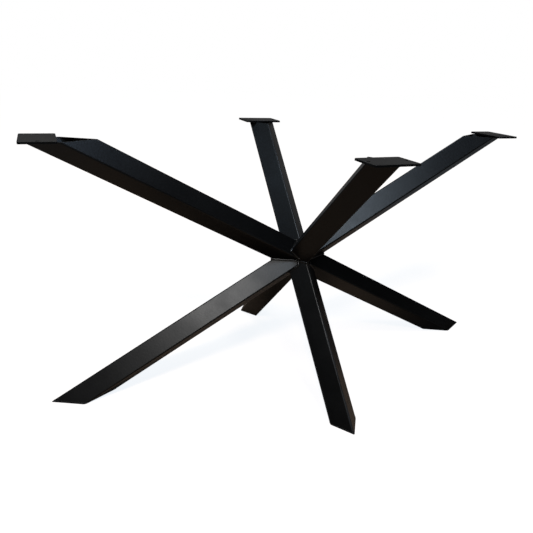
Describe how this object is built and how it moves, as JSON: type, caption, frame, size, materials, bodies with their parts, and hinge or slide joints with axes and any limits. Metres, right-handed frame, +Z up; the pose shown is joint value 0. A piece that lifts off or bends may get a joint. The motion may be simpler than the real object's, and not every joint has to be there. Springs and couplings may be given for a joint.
{
  "type": "matrix table base",
  "caption": "Welded table base of square steel tubes that cross halfway up, with drilled plates for the table top and level-cut feet.",
  "frame": {"origin": "on the floor, under the point where the tubes cross", "axes": "+Z up, +X along the longer pair of tubes, +Y along the shorter pair, away from the viewer of the picture"},
  "size_m": [1.4792, 0.7964, 0.72],
  "materials": {
    "tube_coat": "satin black powder coat",
    "plate_coat": "satin black powder coat",
    "foot_coat": "satin black powder coat"
  },
  "bodies": {
    "root": {"long_through_tube": "tube_coat", "long_upper_arm": "tube_coat", "long_lower_arm": "tube_coat", "short_upper_arm_front": "tube_coat", "short_lower_arm_front": "tube_coat", "short_upper_arm_back": "tube_coat", "short_lower_arm_back": "tube_coat", "top_plate_left": "plate_coat", "top_plate_right": "plate_coat", "top_plate_front": "plate_coat", "top_plate_back": "plate_coat", "foot_plate_left": "foot_coat", "foot_plate_right": "foot_coat", "foot_plate_front": "foot_coat", "foot_plate_back": "foot_coat"}
  },
  "joints": []
}
